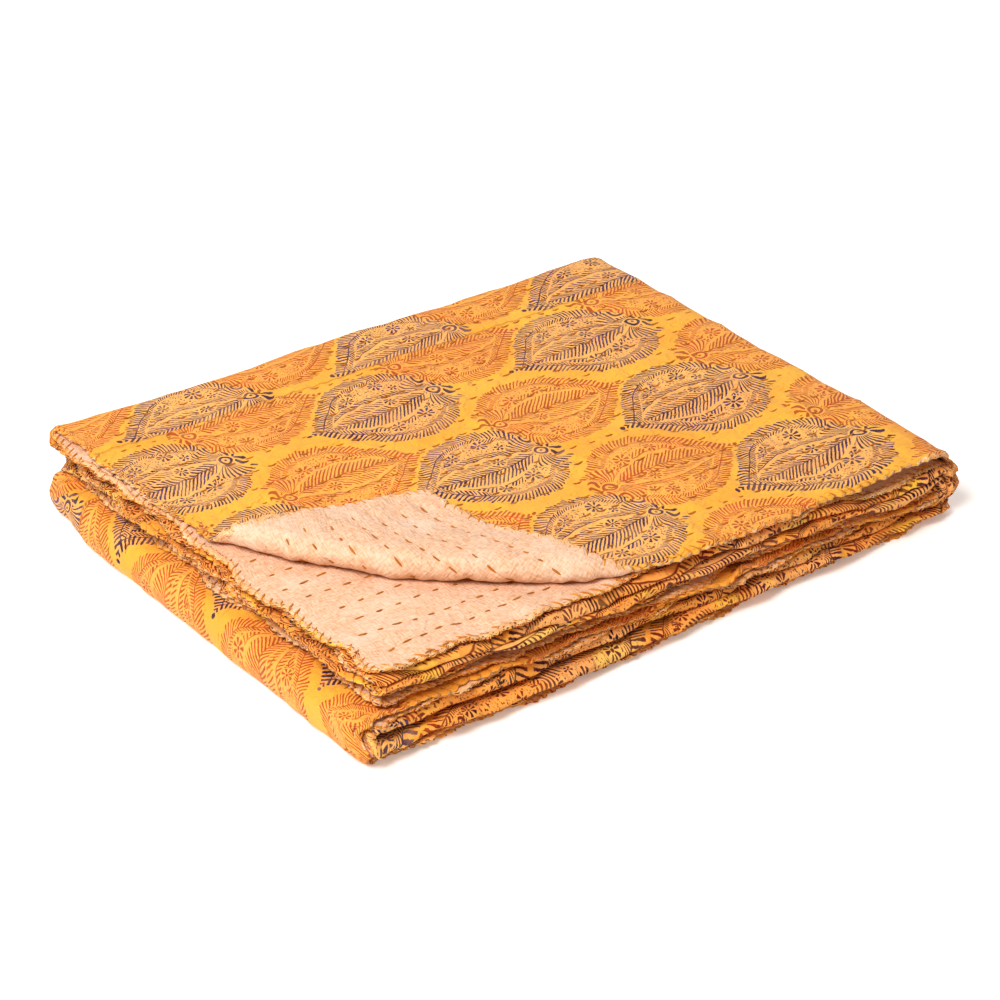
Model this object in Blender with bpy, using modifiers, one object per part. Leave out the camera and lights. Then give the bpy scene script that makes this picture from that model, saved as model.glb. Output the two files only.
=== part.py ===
"""A kantha quilt, folded small: one stitched sheet, in four across and in four along.

The sheet starts as a flat grid of its own length and width. A folding function then
lays it to and fro, first across and then along, which makes sixteen layers. One corner
of the top layer is turned back. The sheet gets its thickness last.
"""
import math

import bmesh
import bpy
import numpy as np
from mathutils import Vector

# Sizes in metres
folded_length = 0.470
folded_width = 0.375
cloth_thickness = 0.0013
end_pitch = 0.0029        # spacing of the layers where they turn at the ends
side_pitch = 0.0033       # and where they turn at the sides
row_spacing = 0.01875     # between two rows of running stitch
quilting_rise = 0.0009    # how far the cloth puffs up between two rows
quilting_fade = 0.020     # the puffing dies out over this length at the hem and the fold

# Height of the folded stack at its corners
height_front_hems = 0.0635
height_back_hems = 0.0590
height_front_fold = 0.0505
height_back_fold = 0.0550
swell_height = 0.0006     # of the shallow waves between the corners

# The turned-back corner
turn_near = Vector((0.0060, 0.1770))    # where its fold leaves the hem at the end
turn_far = Vector((0.2000, -0.0010))    # and where it leaves the hem at the side
turn_bow = 0.0270                       # how far the fold bows out to the corner
roll_radius = 0.0075                    # of the roll, in its middle
roll_radius_near = 0.0055               # and where it leaves the two hems
roll_radius_far = 0.0026
flap_reach = 1.07                       # slack taken up on the way to the flap's tip
flap_fullness = 0.50                    # and more of it halfway to each end of the fold
flap_skew = 0.04                        # how far the flap lies askew, towards the side's hem
flap_clearance = 0.0050                 # from the middle of the top layer to that of the flap
flap_settling = 0.055                   # the length over which the flap comes down

# Levels: sixteen layers lie at 0.5, 1.5 and so on up to 15.5
levels = 16
fold_share_near = 0.57    # the share of the height that the lower eight take at the hems' end,
fold_share_far = 0.46     # at its two corners,
fold_share_turns = 0.50   # and at the other end

# Unevenness: whole layers lie shifted by this much at the hems and folds
hem_step = 0.0036         # from layer to layer, along the quilt
hem_wave = 0.0016         # and along each hem
side_step = 0.0016        # the same across the quilt
side_wave = 0.0012
far_wave = 0.0010
side_drawn_in = 0.008     # the near side runs in towards the far end
low_layers_out = 0.005    # and its lowest layers stand out at the hems' end
fold_corner_in = 0.009    # the low fold at the hems' end draws in at its far corner
end_swing = 0.002         # the far end swings out at the near side
gape = 0.0060             # the top layer lifts off the rest near the far end of the near side

# Lines of the grid, as shares of a run's length, and in rows of stitches across a ply
run_lines = (0, 0.04, 0.16, 0.32, 0.50, 0.68, 0.84, 0.95, 1)
ply_rows = (0, 1, 4, 8, 12, 16, 19, 20)
corner_columns = 13       # finer lines under the turned-back corner, a row's spacing apart
roll_steps = 5            # cuts round the roll, and two more on the flap, in radians
flap_cuts = (math.pi + 4, math.pi + 9)
corner_reach = -8         # the cuts' faces start this many radians before the roll

end_turn = folded_length - 7.5 * end_pitch        # centre of the folds at the far end
hem_turn = 3.5 * end_pitch - 0.013                # centre of the fold at the hem end
side_turn = folded_width - 1.5 * side_pitch
near_turn = 0.5 * side_pitch

# Runs of the strip along the quilt: middle level, +1 where its first ply is on top, start, end
length_runs = (
    (14, 1, 0.0, end_turn),
    (2, -1, end_turn, hem_turn),
    (6, 1, hem_turn, end_turn),
    (10, -1, end_turn, 0.0),
)
# Turns between them: middle level, radius in levels, which end, +1 where the first ply is
# outermost, +1 where it goes down, grid steps, and how round its upper and lower halves are
length_turns = (
    (8, 6, 1, 1, 1, 7, 0.6, 1),
    (4, 2, -1, 1, -1, 6, 1, 0.6),
    (8, 2, 1, -1, -1, 5, 0.8, 1),
)
# The same across the quilt, with the plies' levels counted from the middle of the strip
ply_runs = (
    (1.5, 1, 0.0, side_turn),
    (-1.5, 1, side_turn, near_turn),
    (-0.5, 1, near_turn, side_turn),
    (0.5, 1, side_turn, 0.0),
)
ply_turns = (
    (0, 1.5, 1, 1, 1, 5, 1, 1),
    (-1, 0.5, -1, 1, -1, 4, 1, 1),
    (0, 0.5, 1, 1, -1, 4, 1, 1),
)


def ease(low, high, value):
    """0 up to low, 1 from high on, and a smooth step between them."""
    share = np.clip((value - low) / (high - low), 0, 1)
    return share * share * (3 - 2 * share)


def section_lengths(runs, turns, pitch):
    """Length of cloth in each run and turn, in the order in which they follow each other."""
    lengths = []
    for number, (_, _, start, end) in enumerate(runs):
        lengths.append(abs(end - start))
        if number < len(turns):
            lengths.append(math.pi * turns[number][1] * pitch)
    return lengths


def zigzag(distance, ply, runs, turns, pitch):
    """Lay a strip to and fro: where a point at a distance along it lies, and at what level."""
    place = np.zeros_like(distance)
    level = np.zeros_like(distance)
    begin = 0.0
    for number, length in enumerate(section_lengths(runs, turns, pitch)):
        share = np.clip((distance - begin) / length, 0, 1)
        if number % 2 == 0:
            middle, up, start, end = runs[number // 2]
            here = start + (end - start) * share
            height = middle + up * ply
        else:
            middle, radius, side, outward, down, _, above, below = turns[number // 2]
            bend = radius + outward * ply
            climb = down * np.cos(math.pi * share)
            roundness = np.where(climb > 0, above, below)
            reach = np.clip(np.sin(math.pi * share), 0, 1) ** roundness
            here = runs[number // 2][3] + side * pitch * bend * reach
            height = middle + bend * climb
        inside = (distance > begin - 1e-6) | (number == 0)
        place = np.where(inside, here, place)
        level = np.where(inside, height, level)
        begin += length
    return place, level


def stack_height(x, y):
    """Height of the whole stack: four corners, with a shallow swell between them."""
    along = np.clip(x / folded_length, 0, 1)
    across = np.clip(y / folded_width, 0, 1)
    hems = height_front_hems + (height_back_hems - height_front_hems) * across
    turns = height_front_fold + (height_back_fold - height_front_fold) * across
    swell = swell_height * np.sin(11 * along + 2) * np.sin(7 * across + 1)
    return hems + (turns - hems) * along + swell


def level_height(level, x, y):
    """Height of a layer's middle: the lowest lies flat, and the rest share out the stack."""
    share = (level - 0.5) / (levels - 1)
    half = fold_share_near + (fold_share_far - fold_share_near) * y / folded_width
    half = half + (fold_share_turns - half) * ease(0.02, 0.20, x)
    lower = 2 * half * share
    upper = half + 2 * (1 - half) * (share - 0.5)
    share = np.where(share < 0.5, lower, upper)
    height = cloth_thickness / 2 + (stack_height(x, y) - cloth_thickness) * share
    opening = ease(0.27, 0.38, x) * (1 - 0.6 * ease(0.42, 0.47, x)) * (1 - ease(0.0, 0.075, y))
    return height - gape * opening * (1 - ease(14.5, 15.5, level)) * share


def settle(x, y, level):
    """Shift whole layers a few millimetres sideways, most at their hems and folds."""
    hem_end = (1 - ease(0.0, 0.12, x)) * ease(7.6, 8.4, level)
    fold_end = (1 - ease(-0.02, 0.08, x)) * (1 - ease(6, 8.5, level))
    near_side = 1 - ease(0.0, 0.12, y)
    far_side = ease(0.25, folded_width, y)
    far_end = ease(0.30, folded_length, x)
    step_x = hem_step * np.sin(2.1 * level) + hem_wave * np.sin(34 * y + 1.3 * level)
    step_y = side_step * np.sin(1.4 * level + 1) + side_wave * np.sin(26 * x + 0.6 * level)
    drawn_in = side_drawn_in * (x / folded_length) ** 2
    drawn_in = drawn_in - low_layers_out * (1 - ease(1, 8, level)) * (1 - ease(0.12, 0.40, x))
    new_x = x + hem_end * step_x + fold_corner_in * fold_end * ease(0.30, folded_width, y)
    new_x = new_x + end_swing * far_end * (1 - ease(0.0, 0.2, y))
    new_y = y + near_side * (step_y + drawn_in)
    new_y = new_y + far_wave * far_side * np.sin(0.9 * level + 30 * x)
    return new_x, new_y


turn_along = (turn_far - turn_near).normalized()
turn_out = Vector((-turn_along.y, turn_along.x))
turn_middle = (turn_near + turn_far) / 2
turn_half = (turn_far - turn_near).length / 2
turn_base = turn_middle.dot(turn_along)


def turn_line(along):
    """Distance of the turned-back corner's fold from the corner, and its roll's radius."""
    middle = np.clip(1 - (along / turn_half) ** 2, 0, 1)
    share = np.clip((along / turn_half + 1) / 2, 0, 1)
    radius = roll_radius_near + (roll_radius_far - roll_radius_near) * share
    radius = radius + (roll_radius - radius) * middle
    return turn_middle.dot(turn_out) + radius - turn_bow * middle, radius, middle


def from_turn(out, along):
    """Place in the quilt of a point given by its distances out from the corner and along."""
    return (out * turn_out.x + (along + turn_base) * turn_along.x,
            out * turn_out.y + (along + turn_base) * turn_along.y)


def to_roll(x, y):
    """The top layer's own frame at its corner: turn of the roll in radians, place along it."""
    along = x * turn_along.x + y * turn_along.y - turn_base
    line, radius, _ = turn_line(along)
    return (line - x * turn_out.x - y * turn_out.y) / radius, along


def from_roll(angle, along):
    """The reverse of to_roll."""
    line, radius, _ = turn_line(along)
    return from_turn(line - angle * radius, along)


def turn_back(x, y):
    """Roll the corner over: once round half a turn, then back over the top layer."""
    angle, along = to_roll(x, y)
    line, radius, middle = turn_line(along)
    rolled = np.clip(angle, 0, math.pi)
    past = np.clip(angle - math.pi, 0, None) * radius
    reach = flap_reach + flap_fullness * 4 * middle * (1 - middle)
    out = line - radius * np.sin(rolled) + past * reach
    out = np.where(angle > 0, out, x * turn_out.x + y * turn_out.y)
    rise = radius * (1 - np.cos(rolled))
    rise = rise + ease(0, flap_settling, past) * (flap_clearance - 2 * radius)
    new_x, new_y = from_turn(out, along + past * flap_skew)
    return new_x, new_y, np.where(angle > 0, rise, 0), angle


def fold(u, w):
    """Place of each point of the sheet, from its distances along it and across it."""
    y, ply = zigzag(w, 0.0, ply_runs, ply_turns, side_pitch)
    x, level = zigzag(u, ply, length_runs, length_turns, end_pitch)
    top = (u < end_turn + 1e-6) & (w < side_turn + 1e-6)
    turned_x, turned_y, rise, angle = turn_back(x, y)
    x = np.where(top, turned_x, x)
    y = np.where(top, turned_y, y)
    x, y = settle(x, y, level)
    puff = quilting_rise * np.sin(math.pi * w / row_spacing) ** 2 * (angle < 0)
    puff = puff * ease(0, quilting_fade, u) * (1 - ease(end_turn - quilting_fade, end_turn, u))
    return x, y, level_height(level, x, y) + np.where(top, rise + puff, 0)


def grid_lines(runs, turns, pitch, shares):
    """Distances of the grid's lines along the sheet, section by section."""
    lines = [0.0]
    for number, length in enumerate(section_lengths(runs, turns, pitch)):
        if number % 2 == 0:
            start, end = runs[number // 2][2:]
            steps = shares if end > start else [1 - share for share in reversed(shares)]
        else:
            count = turns[number // 2][5]
            steps = [step / count for step in range(count + 1)]
        base = lines[-1]
        lines.extend(base + share * length for share in steps[1:])
    return lines


def flat_sheet():
    """The sheet laid out flat, with the grid's lines at the folds and between them."""
    u_lines = grid_lines(length_runs, length_turns, end_pitch, run_lines)
    rows = folded_width / row_spacing
    w_lines = grid_lines(ply_runs, ply_turns, side_pitch, [row / rows for row in ply_rows])
    sheet = bmesh.new()
    bmesh.ops.create_grid(sheet, x_segments=len(u_lines) - 1, y_segments=len(w_lines) - 1, size=1)
    for vertex in sheet.verts:
        column = round((vertex.co.x + 1) / 2 * (len(u_lines) - 1))
        row = round((vertex.co.y + 1) / 2 * (len(w_lines) - 1))
        vertex.co = (u_lines[column], w_lines[row], 0)
    return sheet


def cut(sheet, faces, place, normal, snap=1e-6):
    """Cut some faces of the flat sheet along one straight line, and give all of them back."""
    geometry = set(faces)
    for face in faces:
        geometry.update(face.edges)
        geometry.update(face.verts)
    result = bmesh.ops.bisect_plane(sheet, geom=list(geometry), dist=snap,
                                    plane_co=place, plane_no=normal)
    return [item for item in result["geom"] if isinstance(item, bmesh.types.BMFace)]


def top_faces(sheet):
    """The faces of the panel that lies on top."""
    return [face for face in sheet.faces
            if face.calc_center_median().x < end_turn and face.calc_center_median().y < side_turn]


def cut_quilting(sheet):
    """Lines on the top panel at each row of stitches and halfway between two rows."""
    faces = top_faces(sheet)
    half_rows = int(side_turn / (row_spacing / 2))
    for number in range(1, half_rows + 1):
        faces = cut(sheet, faces, (0, number * row_spacing / 2, 0), (0, 1, 0))


def cut_corner(sheet):
    """Lines along the roll of the turned-back corner, cut where the fold is a straight line.

    The faces are lifted to height 1 while they lie in the roll's own frame.
    """
    faces = [face for face in top_faces(sheet)
             if to_roll(*face.calc_center_median().xy)[0] > corner_reach]
    for number in range(1, corner_columns):
        faces = cut(sheet, faces, (number * row_spacing, 0, 0), (1, 0, 0))
    for vertex in {vertex for face in faces for vertex in face.verts}:
        vertex.co = (*to_roll(vertex.co.x, vertex.co.y), 1)
    turns = [math.pi * step / roll_steps for step in range(roll_steps + 1)]
    for angle in (*turns, *flap_cuts):
        lifted = [face for face in sheet.faces if all(vertex.co.z > 0.5 for vertex in face.verts)]
        cut(sheet, lifted, (angle, 0, 0), (1, 0, 0), 0.1)
    for vertex in sheet.verts:
        if vertex.co.z > 0.5:
            vertex.co = (*from_roll(vertex.co.x, vertex.co.y), 0)


def fold_sheet(sheet):
    """Move every point of the flat sheet to its place in the folded quilt."""
    flat = np.array([vertex.co[:2] for vertex in sheet.verts])
    folded = np.column_stack(fold(flat[:, 0], flat[:, 1]))
    for vertex, place in zip(sheet.verts, folded):
        vertex.co = place


def make_material(name, colour, roughness):
    """A plain cloth finish."""
    material = bpy.data.materials.new(name)
    material.use_nodes = True
    shader = material.node_tree.nodes["Principled BSDF"]
    shader.inputs["Base Color"].default_value = (*colour, 1)
    shader.inputs["Roughness"].default_value = roughness
    shader.inputs["Metallic"].default_value = 0
    return material


def centre(quilt):
    """Put the middle of the quilt's underside at the origin."""
    evaluated = quilt.evaluated_get(bpy.context.evaluated_depsgraph_get())
    corners = np.array([vertex.co for vertex in evaluated.data.vertices])
    low, high = corners.min(axis=0), corners.max(axis=0)
    shift = Vector((-(low[0] + high[0]) / 2, -(low[1] + high[1]) / 2, -low[2]))
    for vertex in quilt.data.vertices:
        vertex.co += shift


def make_quilt(collection):
    """The quilt itself, one sheet from hem to hem."""
    sheet = flat_sheet()
    cut_quilting(sheet)
    cut_corner(sheet)
    fold_sheet(sheet)
    mesh = bpy.data.meshes.new("quilt")
    sheet.to_mesh(mesh)
    sheet.free()
    quilt = bpy.data.objects.new("quilt", mesh)
    collection.objects.link(quilt)
    mesh.materials.append(make_material("printed_cotton", (0.86, 0.40, 0.045), 0.85))
    mesh.materials.append(make_material("plain_backing", (0.90, 0.56, 0.34), 0.88))
    thickness = quilt.modifiers.new("Cloth thickness", "SOLIDIFY")
    thickness.thickness = cloth_thickness
    thickness.offset = 0
    thickness.use_even_offset = True
    thickness.use_quality_normals = True
    thickness.material_offset = 1
    mesh.shade_smooth()
    mesh.set_sharp_from_angle(angle=math.radians(50))
    centre(quilt)
    return quilt


for old in list(bpy.data.objects):
    bpy.data.objects.remove(old, do_unlink=True)
parts = bpy.data.collections.new("Kantha quilt")
bpy.context.scene.collection.children.link(parts)
make_quilt(parts)
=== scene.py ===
import math

import bmesh
import bpy
import numpy as np
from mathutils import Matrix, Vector


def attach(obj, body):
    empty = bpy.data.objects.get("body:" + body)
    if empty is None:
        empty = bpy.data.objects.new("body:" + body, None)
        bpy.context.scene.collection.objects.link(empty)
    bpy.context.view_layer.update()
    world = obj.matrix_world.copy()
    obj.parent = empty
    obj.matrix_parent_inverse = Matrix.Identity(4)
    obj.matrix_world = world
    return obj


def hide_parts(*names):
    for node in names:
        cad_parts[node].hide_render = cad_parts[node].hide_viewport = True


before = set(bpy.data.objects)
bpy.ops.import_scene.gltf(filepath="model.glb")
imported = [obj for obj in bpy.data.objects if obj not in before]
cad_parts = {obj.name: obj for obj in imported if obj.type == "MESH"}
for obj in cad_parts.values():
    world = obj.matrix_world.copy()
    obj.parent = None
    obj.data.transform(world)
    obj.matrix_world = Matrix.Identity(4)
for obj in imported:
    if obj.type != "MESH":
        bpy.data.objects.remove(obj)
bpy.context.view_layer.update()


# the sheet is folded in four across, then in four along
fold = {                          # metres; two numbers are where an effect starts and is whole
    "length": 0.470,
    "width": 0.375,
    "endPitch": 0.0029,           # spacing of the layers where they turn at the ends
    "sidePitch": 0.0033,          # and at the sides
    "cornerPlace": (-0.229332545, -0.184989527),   # where the corner of the top layer stands
    "levels": 16,
    "frontHems": 0.0635,          # height of the stack at its four corners
    "backHems": 0.0590,
    "frontFold": 0.0505,
    "backFold": 0.0550,
    "swell": (0.0006, 11, 2, 7, 1),    # size, then pace and phase along and across
    "underLowest": 0.0003,        # the lowest layer's middle lies this much over half its thickness
    "shareNear": 0.57,            # of the height, for the lower eight layers at the hems' end
    "shareFar": 0.46,
    "shareTurns": 0.50,
    "sharesMeet": (0.02, 0.20),
    "bunching": 0.021,            # layers press together in places and part in others
    "bunchPace": 19,
    "bunchWander": ((1.7, 13, 17, 0), (1.1, 31, -23, 2)),
    "bunchLow": (0.02, 0.25),
    "bunchHigh": (0.80, 0.98),
    "edgeLift": 0.0011,           # the layers' edges rise and fall along each side
    "liftReach": (0.0, 0.060),
    "liftLow": (0.5, 3.0),
    "liftHigh": (14.0, 15.3),
    "liftOnTop": 0.35,
    "edgeSway": 0.0018,           # and sway in and out
    "swayReach": (0.0, 0.045),
    "swayHigh": (14.5, 15.4),
    "swayLessOnTop": 0.5,
    "gape": 0.0105,               # the top layer lifts off near the far end of the near side
    "gapeAlong": (0.33, 0.42),
    "gapeEnd": (0.44, 0.475),
    "gapeAtEnd": 0.45,
    "gapeAcross": (0.0, 0.075),
    "gapeLevels": (14.5, 15.5),
    "hemStep": 0.0036,            # whole layers lie shifted by this much at the hems
    "hemStepPace": 2.1,
    "hemStepFar": 0.6,            # less by this share at the far corner
    "hemWave": (0.0016, 34, 1.3),    # size, radians a metre and radians a level
    "hemReach": (0.0, 0.12),
    "hemLevels": (7.6, 8.4),
    "lowestHemIn": (0.0054, 8.5),    # by how much and at which level; these two hems show their
    "secondHemIn": (0.0036, 14.5),   # backing, so they lie further in
    "hemInSpread": 0.6,
    "secondHemFrom": (0.12, 0.19),
    "secondHemTo": (0.24, 0.34),
    "sideStep": (0.0028, 1.4, 1),
    "sideWave": (0.0012, 26, 0.6),
    "farWave": (0.0010, 30, 0.9),
    "farReach": 0.25,
    "sideDrawnIn": 0.008,         # the near side runs in towards the far end
    "lowLayersOut": 0.005,        # its lowest layers stand out at the hems' end
    "lowOutLevels": (1, 8),
    "lowOutAlong": (0.12, 0.40),
    "foldCornerIn": 0.009,        # the low fold draws in at its far corner
    "foldEndAlong": (-0.02, 0.08),
    "foldEndLevels": (6, 8.5),
    "farCorner": 0.30,
    "endSwing": 0.002,
    "endSwingAcross": (0.0, 0.2),
    "leftCornerIn": 0.0085,       # at the left corner the middle layers end short of the others
    "leftCornerLevel": (10.2, 2),
    "leftCornerFrom": 0.27,
    "leftCornerReach": (0.0, 0.10),
    "leftCornerLong": 0.7,        # and this share of it along the sheet
    "lowLevels": (6.5, 8.5),      # the low folds are crushed, most at the two near corners
    "crumple": 0.0012,
    "crumpleLevels": (0.4, 1.6),
    "nearCorner": (0.0, 0.09),
    "crumpleLess": 0.3,
    "belly": 0.32,                # inside the low fold's near end the inner layers belly out
    "bellyReach": (0.0, 0.040),
    "bellyPlies": (-0.45, 0.25),
    "bellyRound": (0.55, 1.3),    # shares of the way round, off its middle
    "bellyFromLow": (0.0, 0.45),
    "bellyAtLow": 0.15,
    "bellyOut": 0.0045,
    "bellyWave": ((0.35, 29, 2),),
    "gathers": 0.38,
    "gatherWaves": ((1, 23, 1), (0.6, 41, 0)),
    "hemsIn": 0.0014,             # inside the stack the hems lie a little behind the folds
    "hemsInWave": (0.0016, 41, 1.7),
    "hemsInReach": 0.02,
    "hemsInLevels": (13.4, 14.2),
}

# radians a metre and a level, a waver and its radians a metre; then the finer wave: its share,
# and its radians a metre along, a metre across and a level
waves = {
    "liftSides": (103, 0.55, 1.5, 23, 0.5, 231, 0, 0.8),
    "liftEnds": (110, 0.6, 1.5, 19, 0.5, 217, 0, 0.9),
    "swaySides": (84, 1.9, 0, 0, 0.5, 203, 0, 2.7),
    "swayEnds": (90, 1.7, 0, 0, 0.5, 197, 0, 2.3),
    "crushSides": (133, 0.7, 3, 27, 0.6, 290, 60, 1.0),
    "crushEnds": (140, 0.3, 3, 31, 0.6, 310, 60, 0.5),
}

corner = {
    "near": Vector((0.0060, 0.1770)),   # where the turned-back corner's fold leaves each hem
    "far": Vector((0.2000, -0.0010)),
    "bow": 0.0270,
    "radius": 0.0075,
    "radiusNear": 0.0078,
    "radiusFar": 0.0026,
    "reach": 1.07,
    "fullness": 0.50,
    "skew": 0.04,
    "clearance": 0.0050,
    "settling": 0.055,
}

cloth = {
    "halfThin": 0.00080,          # half the quilt's thickness at a row of stitches
    "puff": 0.00085,              # and what it swells by on each face between two rows
    "puffPower": 0.85,
    "puffInStack": 0.25,
    "rowSpacing": 0.01875,
    "rowWander": ((0.0011, 33, 2.4), (0.00055, 94, 5.1)),
    "stitchPitch": 0.0128,
    "pitchVary": (0.10, 7.3),
    "rowShift": 0.618,
    "phaseWander": (0.16, 21, 3.7),
    "pucker": 0.00080,            # a running stitch draws the cloth down, and its gap stands up
    "puckerWidth": 0.0040,
    "ripple": 0.00050,
    "undulation": 0.00075,
    "flatInStack": 0.45,
    "topLevels": (14.8, 15.4),
    "floorLevels": (0.6, 1.4),
    "hemFade": (0.0, 0.014),
    "hemExtra": 0.00022,          # the turned-in hem is thicker, and swells between whip stitches
    "hemBand": (0.006, 0.010),
    "scallop": 0.00095,
    "scallopPower": 0.8,
    "scallopReach": 0.005,
    "cornerRound": 0.0085,        # of the sheet's own four corners
    "edgeDrawn": 0.0034,          # the top layer's hems are drawn in once for each running stitch
    "edgeReach": 0.010,
    "edgePower": 0.7,
    "edgeWander": (0.5, 21),
    "topMargin": 0.03,
    "turnCalm": (-0.002, 0.012),  # round the turns the relief is weaker, down to this share
    "turnRelief": 0.25,
    "printGivesWay": 0.09,
}

endTurn = fold["length"] - 7.5 * fold["endPitch"]
hemTurn = 3.5 * fold["endPitch"] - 0.013
sideTurn = fold["width"] - 1.5 * fold["sidePitch"]
nearTurn = 0.5 * fold["sidePitch"]

# middle level, +1 where the first ply is on top, start, end
lengthRuns = ((14, 1, 0.0, endTurn), (2, -1, endTurn, hemTurn),
              (6, 1, hemTurn, endTurn), (10, -1, endTurn, 0.0))
plyRuns = ((1.5, 1, 0.0, sideTurn), (-1.5, 1, sideTurn, nearTurn),
           (-0.5, 1, nearTurn, sideTurn), (0.5, 1, sideTurn, 0.0))
# middle level, radius in levels, which end, first ply outermost, goes down, roundness above
# and below
lengthTurns = ((8, 6, 1, 1, 1, 0.6, 1), (4, 2, -1, 1, -1, 1, 0.6), (8, 2, 1, -1, -1, 0.8, 1))
plyTurns = ((0, 1.5, 1, 1, 1, 1, 1), (-1, 0.5, -1, 1, -1, 1, 1), (0, 0.5, 1, 1, -1, 1, 1))


def ease(low, high, value):
    # 0 below low, 1 above high, and 3t^2 - 2t^3 between them
    t = np.clip((value - low) / (high - low), 0, 1)
    return t * t * (3 - 2 * t)


def fading(limits, value):
    # the other way round: 1 below the two limits, and 0 above them
    return 1 - ease(*limits, value)


def between(share, low, high):
    # a straight line from low, at a share of 0, to high, at a share of 1
    return low + (high - low) * share


def bell(value, middle, width):
    # e to the minus square of the distance from the middle, counted in widths
    return np.exp(-((value - middle) / width) ** 2)


def fromEnds(value, total):
    # how far a value is from the nearer of 0 and the total
    return np.minimum(value, total - value)


def unit(vectors):
    # each vector over its own length
    return vectors / np.maximum(np.linalg.norm(vectors, axis=-1, keepdims=True), 1e-12)


def sumOfSines(table, place):
    # each row's size times the sine of its pace and phase
    return sum(size * np.sin(place * pace + phase) for size, pace, phase in table)


def travelling(values, place, level):
    # a size times the sine of so many radians a metre and so many a level
    size, pace, climb = values
    return size * np.sin(pace * place + climb * level)


def wave(name, along, across, level):
    # two sines of the place and the level: the first one's phase wavers, the second is weaker
    pace, climb, waver, slow, share, fine, cross, fineClimb = waves[name]
    coarse = np.sin(pace * along + climb * level + waver * np.sin(slow * along))
    return coarse + share * np.sin(fine * along + cross * across + fineClimb * level)


def sectionLengths(runs, turns, pitch):
    # cloth in each run and turn: straight runs, and half circles of the turn's mean radius
    lengths = []
    for number, run in enumerate(runs):
        lengths.append(abs(run[3] - run[2]))
        if number < len(turns):
            lengths.append(math.pi * turns[number][1] * pitch)
    return lengths


lengthSections = sectionLengths(lengthRuns, lengthTurns, fold["endPitch"])
widthSections = sectionLengths(plyRuns, plyTurns, fold["sidePitch"])
sheetLength, sheetWidth = sum(lengthSections), sum(widthSections)


def zigzag(distance, ply, sections, runs, turns, pitch):
    # a point goes straight along each run, then round a half circle whose sine and cosine
    # give its place and its level, squared off by a power of the sine
    place = np.zeros_like(distance)
    level = np.zeros_like(distance)
    begin = 0.0
    for number, length in enumerate(sections):
        share = np.clip((distance - begin) / length, 0, 1)
        if number % 2 == 0:
            middle, up, start, end = runs[number // 2]
            here = between(share, start, end)
            height = middle + up * ply
        else:
            middle, radius, side, outward, down, above, below = turns[number // 2]
            bend = radius + outward * ply
            climb = down * np.cos(math.pi * share)
            roundness = np.where(climb > 0, above, below)
            reach = np.clip(np.sin(math.pi * share), 0, 1) ** roundness
            here = runs[number // 2][3] + side * pitch * bend * reach
            height = middle + bend * climb
        inside = (distance > begin - 1e-6) | (number == 0)
        place = np.where(inside, here, place)
        level = np.where(inside, height, level)
        begin += length
    return place, level


def stackHeight(x, y):
    # bilinear between the four corners, with a shallow product of two sines
    along = np.clip(x / fold["length"], 0, 1)
    across = np.clip(y / fold["width"], 0, 1)
    hems = between(across, fold["frontHems"], fold["backHems"])
    turns = between(across, fold["frontFold"], fold["backFold"])
    size, alongPace, alongPhase, acrossPace, acrossPhase = fold["swell"]
    swell = size * np.sin(alongPace * along + alongPhase) * np.sin(acrossPace * across + acrossPhase)
    return between(along, hems, turns) + swell


def levelHeight(level, x, y):
    # a share of the stack's height, in two straight pieces, bunched by a travelling sine; then
    # the edges' lift, and the gape taken off all layers but the top one
    low = cloth["halfThin"] + fold["underLowest"]
    share = (level - 0.5) / (fold["levels"] - 1)
    half = between(y / fold["width"], fold["shareNear"], fold["shareFar"])
    half = between(ease(*fold["sharesMeet"], x), half, fold["shareTurns"])
    share = np.where(share < 0.5, 2 * half * share, half + 2 * (1 - half) * (share - 0.5))
    inner = ease(*fold["bunchLow"], share) * fading(fold["bunchHigh"], share)
    wander = sum(size * np.sin(along * x + across * y + phase)
                 for size, along, across, phase in fold["bunchWander"])
    share = share + fold["bunching"] * inner * np.sin(fold["bunchPace"] * share + wander)
    height = low + (stackHeight(x, y) - 2 * low) * share
    sides = fading(fold["liftReach"], fromEnds(y, fold["width"]))
    ends = fading(fold["liftReach"], fromEnds(x, fold["length"]))
    lift = sides * wave("liftSides", x, y, level) + ends * wave("liftEnds", y, x, level)
    calm = between(ease(*fold["liftHigh"], level), 1, fold["liftOnTop"])
    height = height + fold["edgeLift"] * lift * ease(*fold["liftLow"], level) * calm
    opening = ease(*fold["gapeAlong"], x) * between(ease(*fold["gapeEnd"], x), 1, fold["gapeAtEnd"])
    opening = opening * fading(fold["gapeAcross"], y)
    return height - fold["gape"] * opening * fading(fold["gapeLevels"], level) * share


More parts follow.
